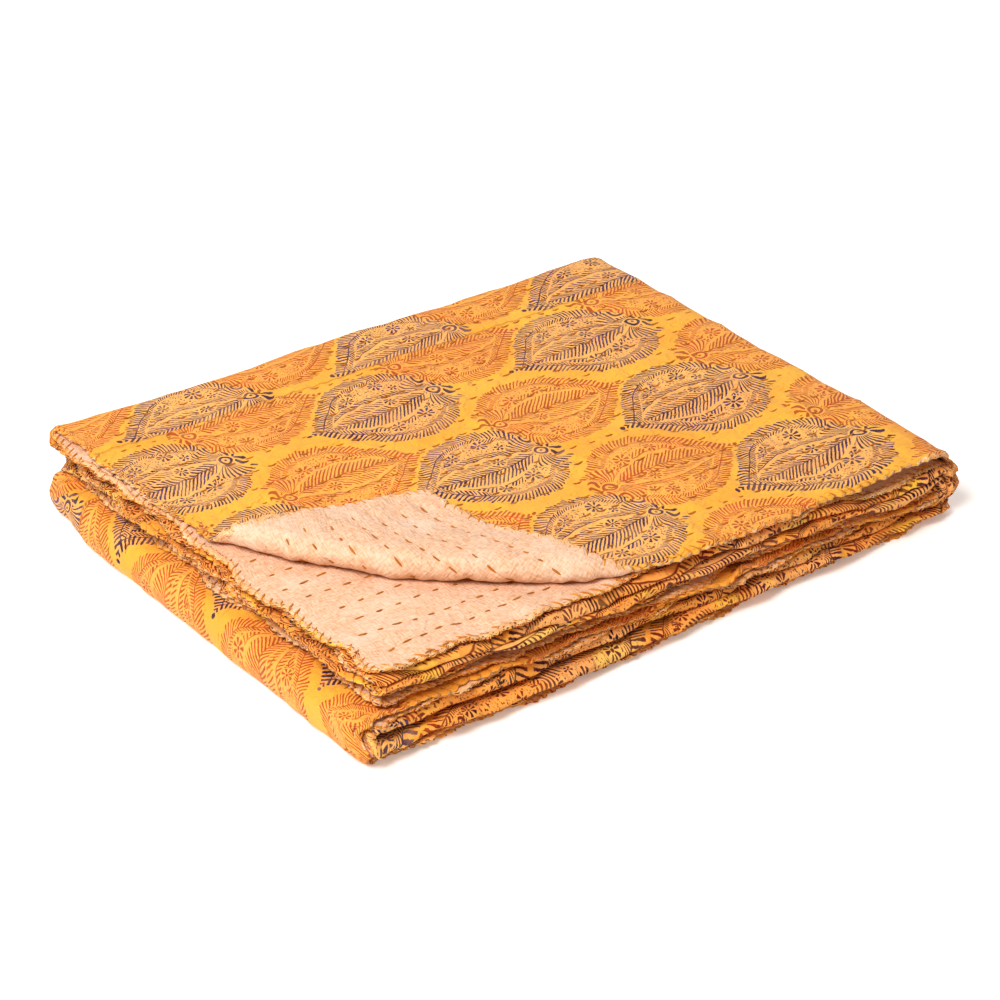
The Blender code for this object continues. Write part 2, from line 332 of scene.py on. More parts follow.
def settle(x, y, level):
    # sideways shifts of whole layers: sines of the level and of the place, eased in at the
    # edges; then the edges' sway and the crumple of the low folds
    hemEnd = fading(fold["hemReach"], x) * ease(*fold["hemLevels"], level)
    foldEnd = fading(fold["foldEndAlong"], x) * fading(fold["foldEndLevels"], level)
    nearSide = fading(fold["hemReach"], y)
    farCorner = ease(fold["farCorner"], fold["width"], y)
    stepX = fold["hemStep"] * (1 - fold["hemStepFar"] * farCorner)
    stepX = stepX * np.sin(fold["hemStepPace"] * level)
    stepX = stepX + travelling(fold["hemWave"], y, level)
    lowest, lowestLevel = fold["lowestHemIn"]
    second, secondLevel = fold["secondHemIn"]
    middleOfEnd = ease(*fold["secondHemFrom"], y) * fading(fold["secondHemTo"], y)
    stepX = stepX + lowest * bell(level, lowestLevel, fold["hemInSpread"])
    stepX = stepX + second * middleOfEnd * bell(level, secondLevel, fold["hemInSpread"])
    size, pace, phase = fold["sideStep"]
    stepY = size * np.sin(pace * level + phase) + travelling(fold["sideWave"], x, level)
    lowOut = fading(fold["lowOutLevels"], level) * fading(fold["lowOutAlong"], x)
    drawnIn = fold["sideDrawnIn"] * (x / fold["length"]) ** 2 - fold["lowLayersOut"] * lowOut
    newX = x + hemEnd * stepX + fold["foldCornerIn"] * foldEnd * farCorner
    swing = ease(fold["farCorner"], fold["length"], x) * fading(fold["endSwingAcross"], y)
    newX = newX + fold["endSwing"] * swing
    newY = y + nearSide * (stepY + drawnIn)
    newY = newY + ease(fold["farReach"], fold["width"], y) * travelling(fold["farWave"], x, level)
    short = bell(level, *fold["leftCornerLevel"]) * ease(fold["leftCornerFrom"], fold["width"], y)
    short = fold["leftCornerIn"] * short * fading(fold["leftCornerReach"], x)
    newX, newY = newX + fold["leftCornerLong"] * short, newY - short
    lowLayers = fading(fold["lowLevels"], level)
    sway = fold["edgeSway"] * (1 - fold["swayLessOnTop"] * ease(*fold["swayHigh"], level))
    crumple = fold["crumple"] * lowLayers * ease(*fold["crumpleLevels"], level)
    crumple = crumple * (1 - fold["crumpleLess"] * ease(*fold["nearCorner"], np.hypot(x, y)))
    endShift = sway * (1 - lowLayers) * wave("swayEnds", y, x, level)
    endShift = endShift + crumple * wave("crushEnds", y, x, level)
    sideShift = sway * wave("swaySides", x, y, level) + crumple * wave("crushSides", x, y, level)
    newX = newX + fading(fold["swayReach"], x) * endShift
    newY = newY + fading(fold["swayReach"], y) * sideShift
    return newX, newY


turnAlong = (corner["far"] - corner["near"]).normalized()
turnOut = Vector((-turnAlong.y, turnAlong.x))
turnMiddle = (corner["near"] + corner["far"]) / 2
turnHalf = (corner["far"] - corner["near"]).length / 2
turnBase = turnMiddle.dot(turnAlong)


def turnBack(x, y):
    # the corner rolls over: round half a circle whose axis bows out, then back over the layer
    along = x * turnAlong.x + y * turnAlong.y - turnBase
    middle = np.clip(1 - (along / turnHalf) ** 2, 0, 1)
    share = np.clip((along / turnHalf + 1) / 2, 0, 1)
    radius = between(share, corner["radiusNear"], corner["radiusFar"])
    radius = between(middle, radius, corner["radius"])
    line = turnMiddle.dot(turnOut) + radius - corner["bow"] * middle
    angle = (line - x * turnOut.x - y * turnOut.y) / radius
    rolled = np.clip(angle, 0, math.pi)
    past = np.clip(angle - math.pi, 0, None) * radius
    reach = corner["reach"] + corner["fullness"] * 4 * middle * (1 - middle)
    out = line - radius * np.sin(rolled) + past * reach
    rise = radius * (1 - np.cos(rolled))
    rise = rise + ease(0, corner["settling"], past) * (corner["clearance"] - 2 * radius)
    here = along + past * corner["skew"] + turnBase
    newX = np.where(angle > 0, out * turnOut.x + here * turnAlong.x, x)
    newY = np.where(angle > 0, out * turnOut.y + here * turnAlong.y, y)
    return newX, newY, np.where(angle > 0, rise, 0), angle


def roundCorners(u, w):
    # near each corner of the sheet a square of side r is pressed into a quarter circle
    r = cloth["cornerRound"]
    a = np.clip(1 - fromEnds(u, sheetLength) / r, 0, 1)
    b = np.clip(1 - fromEnds(w, sheetWidth) / r, 0, 1)
    factor = np.maximum(a, b) / np.maximum(np.hypot(a, b), 1e-9)
    both = (a > 0) & (b > 0)
    u = np.where(both, u + np.sign(sheetLength / 2 - u) * r * a * (1 - factor), u)
    w = np.where(both, w + np.sign(sheetWidth / 2 - w) * r * b * (1 - factor), w)
    return u, w


def drawEdges(u, w):
    # one minus a power of the sine along each of the top layer's hems, dying away from it
    margin = cloth["topMargin"]
    onTop = (1 - ease(endTurn - margin, endTurn, u)) * (1 - ease(sideTurn - margin, sideTurn, w))
    wander, pace = cloth["edgeWander"]
    drawn = []
    for here, other in ((u, w), (w, u)):
        phase = math.pi * other / cloth["stitchPitch"] + wander * np.sin(pace * other)
        dip = 1 - np.abs(np.sin(phase)) ** cloth["edgePower"]
        drawn.append(here + cloth["edgeDrawn"] * onTop * dip * np.exp(-here / cloth["edgeReach"]))
    return drawn


def bellyOut(u, y, ply):
    # where the inner plies go round the low fold's near end, they are gathered: their bend
    # grows and wavers by sines of the way round, and they come forward
    share = (u - sum(lengthSections[:3])) / lengthSections[3]
    weight = fading(fold["bellyRound"], np.abs(share - 0.5))
    weight = weight * fading(fold["bellyReach"], y) * fading(fold["bellyPlies"], ply)
    gathers = 1 + fold["gathers"] * sumOfSines(fold["gatherWaves"], share)
    ply = ply + weight * (2 + ply) * fold["belly"] * gathers
    forward = fold["bellyOut"] * (1 + sumOfSines(fold["bellyWave"], share))
    forward = forward * between(ease(*fold["bellyFromLow"], share), fold["bellyAtLow"], 1)
    return y - weight * forward, ply


def foldedPlace(u, w):
    # the sheet's middle surface: across first, then along, the corner turned back, all settled
    u, w = roundCorners(*drawEdges(u, w))
    y, ply = zigzag(w, 0.0, widthSections, plyRuns, plyTurns, fold["sidePitch"])
    y, ply = bellyOut(u, y, ply)
    x, level = zigzag(u, ply, lengthSections, lengthRuns, lengthTurns, fold["endPitch"])
    top = (u < endTurn + 1e-6) & (w < sideTurn + 1e-6)
    turnedX, turnedY, rise, angle = turnBack(x, y)
    x = np.where(top, turnedX, x)
    y = np.where(top, turnedY, y)
    behind = fold["hemsIn"] + travelling(fold["hemsInWave"], x, level)
    behind = behind * np.exp(-fromEnds(w, sheetWidth) / fold["hemsInReach"])
    y = y + behind * fading(fold["hemsInLevels"], level)
    x, y = settle(x, y, level)
    z = levelHeight(level, x, y) + np.where(top, rise, 0)
    place = np.stack([x + fold["cornerPlace"][0], y + fold["cornerPlace"][1], z], axis=-1)
    return place, level, np.where(top, angle, -99.0)


def clothNormal(u, w, step=0.0004):
    # the cross product of the two differences of the folded place, along u and along w
    uAfter, uBefore = np.minimum(u + step, sheetLength), np.maximum(u - step, 0)
    wAfter, wBefore = np.minimum(w + step, sheetWidth), np.maximum(w - step, 0)
    alongU = foldedPlace(uAfter, w)[0] - foldedPlace(uBefore, w)[0]
    alongW = foldedPlace(u, wAfter)[0] - foldedPlace(u, wBefore)[0]
    return unit(np.cross(alongU, alongW))


def drawWaves(draw, count, shortest, longest):
    # plane waves of random length, direction and phase
    return [(draw.uniform(shortest, longest), draw.uniform(0, math.pi), draw.uniform(0, 6.28))
            for _ in range(count)]


rng = np.random.default_rng(27)
rippleWaves = drawWaves(rng, 14, 0.009, 0.030)
swellWaves = drawWaves(rng, 6, 0.05, 0.13)


def sines(u, w, planeWaves):
    # the sum of the plane waves over the root of their number
    total = np.zeros_like(u)
    for length, direction, phase in planeWaves:
        along = u * math.cos(direction) + w * math.sin(direction)
        total += np.sin(2 * math.pi * along / length + phase)
    return total / math.sqrt(len(planeWaves))


def rowOffset(u, row):
    # a row of stitches wanders off its straight line by two sines
    return sum(travelling(values, u, row) for values in cloth["rowWander"])


def rowPhase(u, row):
    # running stitches: the print's are centred on a half, and the backing's on a whole number
    vary, pace = cloth["pitchVary"]
    pitch = cloth["stitchPitch"] * (1 + vary * np.sin(pace * row))
    shift = np.mod(cloth["rowShift"] * row, 1)
    return u / pitch + shift + travelling(cloth["phaseWander"], u, row)


def awayFromTurns(u, w):
    # 0 where the cloth turns at an end or a side, and 1 from a little way off
    away = np.ones_like(u)
    for values, lengths in ((u, lengthSections), (w, widthSections)):
        for number in (1, 3, 5):
            off = np.abs(values - sum(lengths[:number]) - lengths[number] / 2) - lengths[number] / 2
            away = np.minimum(away, ease(*cloth["turnCalm"], off))
    return away


def relief(u, w, level):
    # what the quilting does: both faces swell between two rows as a power of a sine, and the
    # middle waves along each row with the stitches, and everywhere with ripples and swells
    row = np.round(w / cloth["rowSpacing"])
    across = w - row * cloth["rowSpacing"] - rowOffset(u, row)
    swell = np.abs(np.sin(math.pi * across / cloth["rowSpacing"])) ** cloth["puffPower"]
    upper = ease(*cloth["topLevels"], level)
    flat = ease(*cloth["floorLevels"], level) * between(upper, cloth["flatInStack"], 1)
    fromU, fromW = fromEnds(u, sheetLength), fromEnds(w, sheetWidth)
    edge = np.minimum(fromU, fromW)
    fade = ease(*cloth["hemFade"], edge)
    calm = awayFromTurns(u, w)
    puff = cloth["puff"] * swell * fade * between(upper, cloth["puffInStack"], 1) * calm
    alongHem = np.where(fromU < fromW, w, u)
    scallop = np.abs(np.sin(math.pi * alongHem / hem["whipPitch"])) ** cloth["scallopPower"]
    scallop = cloth["scallop"] * scallop * np.exp(-edge / cloth["scallopReach"])
    hemBand = fading(cloth["hemBand"], edge) * upper
    half = cloth["halfThin"] + puff + hemBand * (cloth["hemExtra"] + scallop)
    nearRow = bell(across, 0, cloth["puckerWidth"])
    middle = cloth["pucker"] * nearRow * np.cos(2 * math.pi * rowPhase(u, row)) * fade
    middle = middle + cloth["ripple"] * sines(u, w, rippleWaves) * (0.5 + 0.5 * swell)
    middle = middle + cloth["undulation"] * sines(u, w, swellWaves) * upper
    return half, middle * flat * between(calm, cloth["turnRelief"], 1)


def clothFrame(u, w):
    # middle of the quilted cloth with its relief, its print-side normal and half its thickness
    place, level, angle = foldedPlace(u, w)
    normal = clothNormal(u, w)
    half, middle = relief(u, w, level)
    return place + normal * middle[..., None], normal, half, level, angle


def turnStretch():
    # how much longer than its flat cloth each fold's real path is, at places across the sheet
    across = np.linspace(0, sheetWidth, 161)
    stretch = []
    for number in (1, 3, 5):
        start, long = sum(lengthSections[:number]), lengthSections[number]
        u = start + np.linspace(0, 1, 41)[:, None] * long + 0 * across[None]
        place, _, _ = foldedPlace(u, np.broadcast_to(across, u.shape))
        real = np.linalg.norm(np.diff(place, axis=0), axis=-1).sum(axis=0)
        stretch.append((start + long / 2, long, real / long - 1))
    return across, stretch


stretchAcross, stretchTable = turnStretch()


def clothPlace(u, w):
    # where the print lies: at a fold it keeps its scale, and the cloth beside it gives way
    printed = u.copy()
    for middle, long, extra in stretchTable:
        off = u - middle
        fade = 1 - ease(long / 2, long / 2 + cloth["printGivesWay"], np.abs(off))
        printed += np.interp(w, stretchAcross, extra) * np.clip(off, -long / 2, long / 2) * fade
    return np.stack([printed, w], axis=-1)


def meshObject(name, points, faces, materials, slots=None, uv=None):
    # slots: one material number a face; uv: one pair a face corner
    mesh = bpy.data.meshes.new(name)
    mesh.from_pydata(points.tolist(), [], faces)
    for material in materials:
        mesh.materials.append(material)
    if slots is not None:
        mesh.polygons.foreach_set("material_index", np.asarray(slots, dtype=np.int32))
    if uv is not None:
        layer = mesh.uv_layers.new(name="cloth")
        layer.data.foreach_set("uv", np.asarray(uv, dtype=np.float32).ravel())
    mesh.shade_smooth()
    mesh.update()
    piece = bpy.data.objects.new(name, mesh)
    bpy.context.scene.collection.objects.link(piece)
    return piece


grid = {
    "topCellsLong": 40,           # cells of the first run along the sheet, and of the others
    "otherCellsLong": 30,
    "topCellsWide": 34,
    "otherCellsWide": 26,
    "turnCellsLong": (14, 16, 8),
    "turnCellsWide": (10, 6, 6),
    "topCuts": 3,                 # the top panel's cells are cut again, and some of the next layer's
    "nextCuts": 2,
    "nextReach": (0.215, 0.200),
    "crowding": 0.55,             # lines of the other runs crowd towards their ends
}


def gridLines(sections, first, others, turnCells):
    # even lines on the first run and on turns; on the others t minus a share of sin(2 pi t)
    lines = [0.0]
    for number, length in enumerate(sections):
        if number % 2 == 1:
            share = np.linspace(0, 1, turnCells[number // 2] + 1)
        elif number == 0:
            share = np.linspace(0, 1, first + 1)
        else:
            share = np.linspace(0, 1, others + 1)
            share = share - grid["crowding"] * np.sin(2 * math.pi * share) / (2 * math.pi)
        lines.extend((lines[-1] + share[1:] * length).tolist())
    return np.array(lines)


def flatSheet():
    # a plain grid of the sheet, finer on the panel that lies on top and under its turned corner
    uLines = gridLines(lengthSections, grid["topCellsLong"], grid["otherCellsLong"],
                       grid["turnCellsLong"])
    wLines = gridLines(widthSections, grid["topCellsWide"], grid["otherCellsWide"],
                       grid["turnCellsWide"])
    columns, rows = np.meshgrid(uLines, wLines, indexing="ij")
    points = np.stack([columns, rows, np.zeros_like(rows)], axis=-1).reshape(-1, 3)
    count = len(wLines)
    first = (np.arange(len(uLines) - 1)[:, None] * count + np.arange(count - 1)[None, :]).ravel()
    quads = np.stack([first, first + count, first + count + 1, first + 1], axis=-1)
    mesh = bpy.data.meshes.new("flat")
    mesh.from_pydata(points.tolist(), [], quads.tolist())
    sheet = bmesh.new()
    sheet.from_mesh(mesh)
    bpy.data.meshes.remove(mesh)

    def cutFaces(wanted, cuts):
        # the edges of the wanted faces are cut evenly, and the faces filled with grids
        edges = {edge for face in sheet.faces if wanted(face.calc_center_median())
                 for edge in face.edges}
        bmesh.ops.subdivide_edges(sheet, edges=list(edges), cuts=cuts, use_grid_fill=True)

    cutFaces(lambda place: place.x < endTurn and place.y < sideTurn, grid["topCuts"])
    long, wide = grid["nextReach"]
    cutFaces(lambda place: place.x < long and place.y > sheetWidth - wide, grid["nextCuts"])
    return sheet


def flatArrays(sheet):
    # the flat sheet's points, its faces as arrays of numbers, and its boundary's edges
    sheet.verts.index_update()
    rim = [(edge.link_loops[0].vert.index, edge.link_loops[0].link_loop_next.vert.index)
           for edge in sheet.edges if edge.is_boundary]
    mesh = bpy.data.meshes.new("flat")
    sheet.to_mesh(mesh)
    sheet.free()
    flat = np.empty(3 * len(mesh.vertices))
    mesh.vertices.foreach_get("co", flat)
    corners = np.empty(len(mesh.loops), dtype=np.int32)
    mesh.loops.foreach_get("vertex_index", corners)
    starts = np.empty(len(mesh.polygons), dtype=np.int32)
    mesh.polygons.foreach_get("loop_start", starts)
    bpy.data.meshes.remove(mesh)
    return flat.reshape(-1, 3)[:, :2], np.split(corners, starts[1:]), rim


def inset(u, w, margin):
    # held within the sheet's outline by a margin
    return np.clip(u, margin, sheetLength - margin), np.clip(w, margin, sheetWidth - margin)


def makeQuilt(materials):
    # the print face and the backing's face lie half the thickness to each side of the middle,
    # and a strip of faces along the hems joins them
    flat, printFaces, rim = flatArrays(flatSheet())
    u, w = inset(flat[:, 0], flat[:, 1], hem["inside"])
    place, normal, half, _, _ = clothFrame(u, w)
    points = np.concatenate([place + normal * half[:, None], place - normal * half[:, None]])
    points[:, 2] = np.maximum(points[:, 2], 0.00002)
    count = len(flat)
    backFaces = [face[::-1] + count for face in printFaces]
    rimFaces = [np.array([b, a, a + count, b + count]) for a, b in rim]
    faces = printFaces + backFaces + rimFaces
    slots = [0] * len(printFaces) + [1] * len(backFaces) + [0] * len(rimFaces)
    uv = clothPlace(u, w)[np.concatenate(faces) % count]
    print("quilted cloth:", len(points), "points,", len(faces), "faces")
    return meshObject("quilted_cloth", points, [face.tolist() for face in faces], materials, slots, uv)


def sweep(name, centres, normals, sideways, profile, materials, uv, slots=None, closed=False):
    # each path (paths x steps) carries its profile of (sideways, up) offsets; open paths get
    # a flat face at each end
    paths, steps = centres.shape[:2]
    sides = profile.shape[-2]
    points = (centres[:, :, None] + sideways[:, :, None] * profile[..., :1]
              + normals[:, :, None] * profile[..., 1:])
    points[..., 2] = np.maximum(points[..., 2], 0.0001)
    ring = np.arange(sides)
    along = np.arange(steps if closed else steps - 1)
    start = np.arange(paths)[:, None, None] * steps * sides
    here = start + along[None, :, None] * sides + ring
    there = start + ((along + 1) % steps)[None, :, None] * sides + ring
    quads = np.stack([here, there, np.roll(there, -1, axis=-1), np.roll(here, -1, axis=-1)], axis=-1)
    faces, corners = quads.reshape(-1, 4).tolist(), quads.ravel()
    if not closed:
        caps = np.concatenate([start[:, 0] + ring[::-1], start[:, 0] + (steps - 1) * sides + ring])
        faces, corners = faces + caps.tolist(), np.concatenate([corners, caps.ravel()])
    faceUv = uv.reshape(-1, 2)[corners]
    return meshObject(name, points.reshape(-1, 3), faces, materials, slots, faceUv)


hem = {
    "step": 0.00152,
    "whipPitch": 0.0076,
    "wide": 0.0029,               # the rolled edge's half width and half height
    "wideOnTop": 0.0031,
    "high": 0.00135,
    "highOnTop": 0.00175,
    "topLevels": (14.2, 15.2),
    "inside": 0.0024,             # its middle lies this far inside the sheet's outline
    "directionInset": 0.0035,
    "softening": 4,               # neighbours on each side that a direction is averaged with
    "pinch": 0.44,                # how far each whip stitch draws it in
    "groovePower": 0.7,
    "uneven": ((0.12, 61, 0), (0.10, 173, 1)),
    "lean": ((0.0005, 47, 0), (0.0003, 131, 0)),
    "drawnIn": 0.0006,
    "sides": 8,
    "printRadius": 0.004,
    "turnedUp": -0.50,            # sine of the height up to which the backing shows on it
    "turnedOnTop": -0.16,
    "turnedVary": 0.55,
    "turnedPaces": (29, 11, 7),
    "turnedPuffs": 0.72,          # between two stitches it shows higher up
    "puffsOnTop": 0.5,
    "puffsPhase": 0.8,
    "turnedLong": 0.42,           # and along the top layer's long side
}


def hemPath(count):
    # once round the sheet's outline in even steps
    total = 2 * (sheetLength + sheetWidth)
    s = np.arange(count) * total / count
    knots = np.cumsum([0, sheetLength, sheetWidth, sheetLength, sheetWidth])
    u = np.interp(s, knots, [0, sheetLength, sheetLength, 0, 0])
    w = np.interp(s, knots, [0, 0, sheetWidth, sheetWidth, 0])
    return u, w, s


def softened(values, width):
    # the weighted mean of each value round the closed hem and its neighbours, as a triangle
    shifts = np.arange(-width, width + 1)
    weights = width + 1 - np.abs(shifts)
    total = sum(weight * np.roll(values, shift, axis=0) for shift, weight in zip(shifts, weights))
    return total / weights.sum()


def hemFrame(u, w):
    # middle line, outward direction and normal along the sheet's edge, its half width and half
    # height, and 1 in the top layer: the way out is from the cloth a little further in
    edge, _, _, level, _ = clothFrame(*inset(u, w, hem["inside"]))
    inner, normal, _, _, _ = clothFrame(*inset(u, w, hem["inside"] + hem["directionInset"]))
    out = unit(softened(edge - inner, hem["softening"]))
    normal = softened(normal, hem["softening"])
    normal = unit(normal - out * np.sum(normal * out, axis=-1, keepdims=True))
    upper = ease(*hem["topLevels"], level)
    wide = between(upper, hem["wide"], hem["wideOnTop"])
    high = between(upper, hem["high"], hem["highOnTop"])
    return softened(edge, hem["softening"] // 2), out, normal, wide, high, upper


def makeHem(materials):
    # an oval profile, drawn in by a power of a sine along grooves that slant round it as the
    # whip stitches do, so that it looks like a rope
    u, w, s = hemPath(round(2 * (sheetLength + sheetWidth) / hem["step"]))
    centre, out, normal, wide, high, upper = hemFrame(u, w)
    turn = np.arange(hem["sides"]) * 2 * math.pi / hem["sides"]
    signed = np.where(turn > math.pi, turn - 2 * math.pi, turn)
    wound = thread["whipSlant"] / hem["whipPitch"] * signed[None]
    along = math.pi * s[:, None] / hem["whipPitch"]
    groove = 1 - np.abs(np.sin(along + wound)) ** hem["groovePower"]
    full = (1 - hem["pinch"] * groove) * (1 + sumOfSines(hem["uneven"], s))[:, None]
    profile = np.stack([wide[:, None] * np.cos(turn)[None] * full,
                        high[:, None] * np.sin(turn)[None] * full], axis=-1)
    lean = sumOfSines(hem["lean"], s)
    pulled = hem["drawnIn"] * np.cos(2 * math.pi * s / hem["whipPitch"])
    centre = centre + normal * lean[:, None] - out * pulled[:, None]
    around = hem["printRadius"] * np.stack([np.cos(turn), np.sin(turn)], axis=-1)
    uv = clothPlace(u, w)[:, None] + around[None]
    # the backing shows on the faces below a height that varies along the hem
    height = np.sin(turn + math.pi / hem["sides"])
    turned = between(upper, hem["turnedUp"], hem["turnedOnTop"])
    fine, waver, slow = hem["turnedPaces"]
    uneven = np.sin(fine * s + 2 * np.sin(waver * s)) * np.sin(slow * s + 1)
    turned = turned + hem["turnedVary"] * uneven
    turned = turned + hem["turnedLong"] * upper * (s < sheetLength)
    puffs = hem["turnedPuffs"] * np.cos(2 * along + 2 * wound - hem["puffsPhase"])
    puffs = puffs * (1 - hem["puffsOnTop"] * upper[:, None])
    slots = (height[None] + puffs < turned[:, None]).astype(int).ravel()
    print("hem:", len(s), "steps round the sheet")
    return sweep("hem", centre[None], normal[None], out[None], profile[None], materials,
                 uv[None], slots, closed=True)


thread = {
    "radius": 0.00066,
    "flattened": 0.8,
    "sides": 5,
    "endsThin": (1.6, 0.35),      # a sine's size that thins the ends, and the least share left
    "twistRound": 0.003,
    "twistApart": 0.013,          # how far apart the twist is from one stitch to the next
    "lift": 0.00030,              # the middle of a running stitch stands off the cloth
    "endsSunk": 0.0002,
    "sunkInTurns": 0.00075,
    "printLong": 0.0070,          # running stitches on the two faces
    "backLong": 0.0062,
    "longVary": (0.60, 1.25),
    "offRow": 0.0003,
    "askew": 0.05,
    "hemMargin": 0.003,
    "rowEnds": 0.004,
    "rowSamples": 9000,
    "runSteps": 5,
    "runRadius": (0.92, 1.22),
    "seenTop": 15.2,              # levels of the top layer's outer side, of the inner side that
    "seenNext": (14.2, 14.8),     # the turned corner bares, and of the underside
    "seenUnder": 0.8,
    "seenRim": (0.012, 1.6),      # how wide the rim is, and so many times that at the far end
    "hemSamples": 4000,           # places round the hem, between which a stitch's own are read
    "whipIn": 0.0046,             # a whip stitch enters the print face this far from the edge
    "whipBack": 0.0044,           # and the backing's face this far from it
    "whipSlant": 0.0098,          # its two ends lie this far apart along the hem
    "whipSteps": 8,
    "whipPlaceVary": 0.07,
    "whipSlantVary": (0.75, 1.2),
    "whipInVary": (0.75, 1.25),
    "whipBackVary": (0.8, 1.2),
    "whipRadius": (0.9, 1.2),
    "whipOff": 0.6,               # of its radius, how far its middle stands off the hem
    "whipPowers": (0.8, 1.5, 0.45),
    "whipEnds": ((0.80, 1.0), 0.45),   # where its ends sink, and by what share
    "whipSunk": 0.72,             # the share of the hem's pinch that it follows
}


def threadPieces(name, centres, normals, radius, material):
    # tubes along short paths: the side is tangent x normal, both ends thin out by a sine, and
    # the ring is an oval of cosine and sine
    tangent = np.gradient(centres, axis=1)
    side = unit(np.cross(tangent, normals))
    up = unit(np.cross(side, tangent))
    steps, sides = centres.shape[1], thread["sides"]
    full, least = thread["endsThin"]
    ends = np.clip(full * np.sin(math.pi * (np.arange(steps) + 0.5) / steps), least, 1)
    width = (radius[:, None] * ends[None])[..., None]
    turn = np.arange(sides) * 2 * math.pi / sides
    profile = np.stack([width * np.cos(turn), thread["flattened"] * width * np.sin(turn)], axis=-1)
    stepLengths = np.linalg.norm(np.diff(centres, axis=1, prepend=centres[:, :1]), axis=-1)
    apart = np.arange(len(centres))[:, None, None] * thread["twistApart"]
    along = np.cumsum(stepLengths, axis=1)[..., None] + apart
    around = np.arange(sides) / sides * thread["twistRound"]
    uv = np.stack(np.broadcast_arrays(along, around[None, None]), axis=-1)
    print(name + ":", len(centres), "stitches")
    return sweep(name, centres, up, side, profile, [material], uv)


def makeWhipStitches(material):
    # a half ellipse from the print face over the edge to the backing's face, slanted along the hem
    total = 2 * (sheetLength + sheetWidth)
    count = int(total / hem["whipPitch"])
    draw = np.random.default_rng(5)
    vary = thread["whipPlaceVary"]
    middle = (np.arange(count) + 1 + draw.uniform(-vary, vary, count)) * hem["whipPitch"]
    u, w, s = hemPath(thread["hemSamples"])
    centre, out, normal, wide, high, _ = hemFrame(u, w)
    t = np.linspace(0, 1, thread["whipSteps"])[None]
    slant = thread["whipSlant"] * draw.uniform(*thread["whipSlantVary"], count)
    reachIn = thread["whipIn"] * draw.uniform(*thread["whipInVary"], count)
    reachBack = thread["whipBack"] * draw.uniform(*thread["whipBackVary"], count)
    at = (middle[:, None] + slant[:, None] * (t - 0.5)) % total

    def along(values):
        # values round the hem, read at each stitch's own points
        return np.stack([np.interp(at, s, column, period=total) for column in values.T], axis=-1)

    cosine = np.cos(math.pi * t)
    across = np.where(t < 0.5, reachIn[:, None], reachBack[:, None])
    drawn = 1 - thread["whipSunk"] * hem["pinch"]
    halfSizes = along(np.stack([wide, high], axis=-1)) * drawn + thread["radius"] * thread["whipOff"]
    sinePower, reachPower, heightPower = thread["whipPowers"]
    outward = (halfSizes[..., 0] - hem["drawnIn"]) * np.sin(math.pi * t) ** sinePower
    outward = outward - across * np.abs(cosine) ** reachPower
    upward = halfSizes[..., 1] * np.sign(cosine) * np.abs(cosine) ** heightPower
    sinking, sunk = thread["whipEnds"]
    upward = upward * (1 - sunk * ease(*sinking, np.abs(cosine)))
    outs, normals = along(out), along(normal)
    place = along(centre) + outs * outward[..., None] + normals * upward[..., None]
    face = outs * np.sin(math.pi * t)[..., None] + normals * cosine[..., None]
    radius = thread["radius"] * draw.uniform(*thread["whipRadius"], count)
    return threadPieces("whip_stitches", place, face, radius, material)


def outerStitch(place, normal, level, angle, side):
    # a stitch is made where its face looks out of the stack: up, down, or at one of its sides
    x = place[:, 0] - fold["cornerPlace"][0]
    y = place[:, 1] - fold["cornerPlace"][1]
    up = side * normal[:, 2]
    long, wide = grid["nextReach"]
    lowest, highest = thread["seenNext"]
    top = (level > thread["seenTop"]) & (up > 0.1) | (angle > 0.2) & (side < 0)
    below = (level > lowest) & (level < highest) & (side < 0) & (x / long + y / (wide + 0.005) < 1)
    under = (level < thread["seenUnder"]) & (up < -0.5)
    edge, more = thread["seenRim"]
    nearRim = (x < edge) | (y < edge)
    farRim = (x > fold["length"] - more * edge) | (y > fold["width"] - edge)
    return top | below | under | nearRim | farRim


